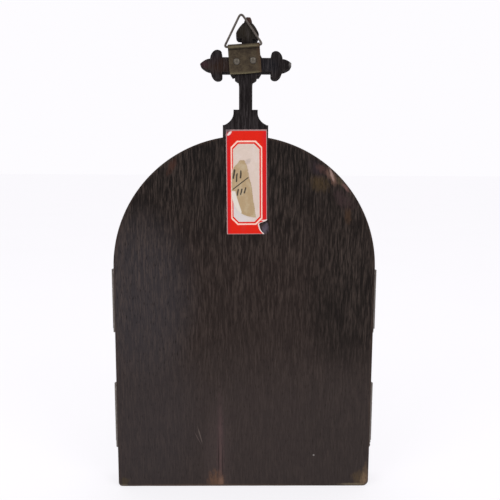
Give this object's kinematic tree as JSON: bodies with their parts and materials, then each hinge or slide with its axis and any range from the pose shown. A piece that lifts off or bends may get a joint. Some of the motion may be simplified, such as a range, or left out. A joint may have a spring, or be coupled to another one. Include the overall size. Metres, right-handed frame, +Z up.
{
  "type": "triptych altarpiece",
  "caption": "Arched folding triptych altar of blackened oak with hinged wings, a lily-ended cross on its crown, a wire hanging ring and a paper label on its back.",
  "frame": {"origin": "middle of the closed piece's footprint, on the surface that it stands on", "axes": "+Z up, the closed wings face -Y and the plain back with its label and hanger faces +Y, +X is the right-hand side of somebody in front of the wings"},
  "size_m": [0.1724, 0.023, 0.2997],
  "materials": {
    "blackened_oak": "satin",
    "black_lacquered_oak": "gloss",
    "aged_brass": "satin",
    "bright_wire": "polished",
    "dark_hinge_steel": "satin",
    "dull_nickel": "satin",
    "label_paper": "satin",
    "sticker_paper": "matte"
  },
  "bodies": {
    "root": {"back_panel": "blackened_oak", "cross_finial": "black_lacquered_oak", "hanger_plate": "aged_brass", "hanger_nail_left": "dull_nickel", "hanger_nail_right": "dull_nickel", "paper_label": "label_paper", "torn_sticker": "sticker_paper", "left_upper_hinge_panel_leaf": "dark_hinge_steel", "left_upper_hinge_panel_leaf_brad_1": "dull_nickel", "left_upper_hinge_panel_leaf_brad_2": "dull_nickel", "left_upper_hinge_pin": "dark_hinge_steel", "left_lower_hinge_panel_leaf": "dark_hinge_steel", "left_lower_hinge_panel_leaf_brad_1": "dull_nickel", "left_lower_hinge_panel_leaf_brad_2": "dull_nickel", "left_lower_hinge_pin": "dark_hinge_steel", "right_upper_hinge_panel_leaf": "dark_hinge_steel", "right_upper_hinge_panel_leaf_brad_1": "dull_nickel", "right_upper_hinge_panel_leaf_brad_2": "dull_nickel", "right_upper_hinge_pin": "dark_hinge_steel", "right_lower_hinge_panel_leaf": "dark_hinge_steel", "right_lower_hinge_panel_leaf_brad_1": "dull_nickel", "right_lower_hinge_panel_leaf_brad_2": "dull_nickel", "right_lower_hinge_pin": "dark_hinge_steel"},
    "left_wing": {"left_wing": "blackened_oak", "left_upper_hinge_wing_leaf": "dark_hinge_steel", "left_upper_hinge_wing_leaf_brad_1": "dull_nickel", "left_upper_hinge_wing_leaf_brad_2": "dull_nickel", "left_lower_hinge_wing_leaf": "dark_hinge_steel", "left_lower_hinge_wing_leaf_brad_1": "dull_nickel", "left_lower_hinge_wing_leaf_brad_2": "dull_nickel"},
    "right_wing": {"right_wing": "blackened_oak", "right_upper_hinge_wing_leaf": "dark_hinge_steel", "right_upper_hinge_wing_leaf_brad_1": "dull_nickel", "right_upper_hinge_wing_leaf_brad_2": "dull_nickel", "right_lower_hinge_wing_leaf": "dark_hinge_steel", "right_lower_hinge_wing_leaf_brad_1": "dull_nickel", "right_lower_hinge_wing_leaf_brad_2": "dull_nickel"},
    "hanger_ring": {"hanger_ring": "bright_wire"}
  },
  "joints": [
    {"name": "left_wing_hinge", "type": "hinge", "parent": "root", "child": "left_wing", "pos_m": [-0.0844, -0.00335, 0.085], "axis": [0, 0, -1], "range_deg": [0, 180]},
    {"name": "right_wing_hinge", "type": "hinge", "parent": "root", "child": "right_wing", "pos_m": [0.0844, -0.00335, 0.085], "axis": [0, 0, 1], "range_deg": [0, 180]},
    {"name": "ring_hinge", "type": "hinge", "parent": "root", "child": "hanger_ring", "pos_m": [0.00105, 0.0102, 0.281], "axis": [-0.9969, 0, 0.0785], "range_deg": [0, 165]}
  ]
}
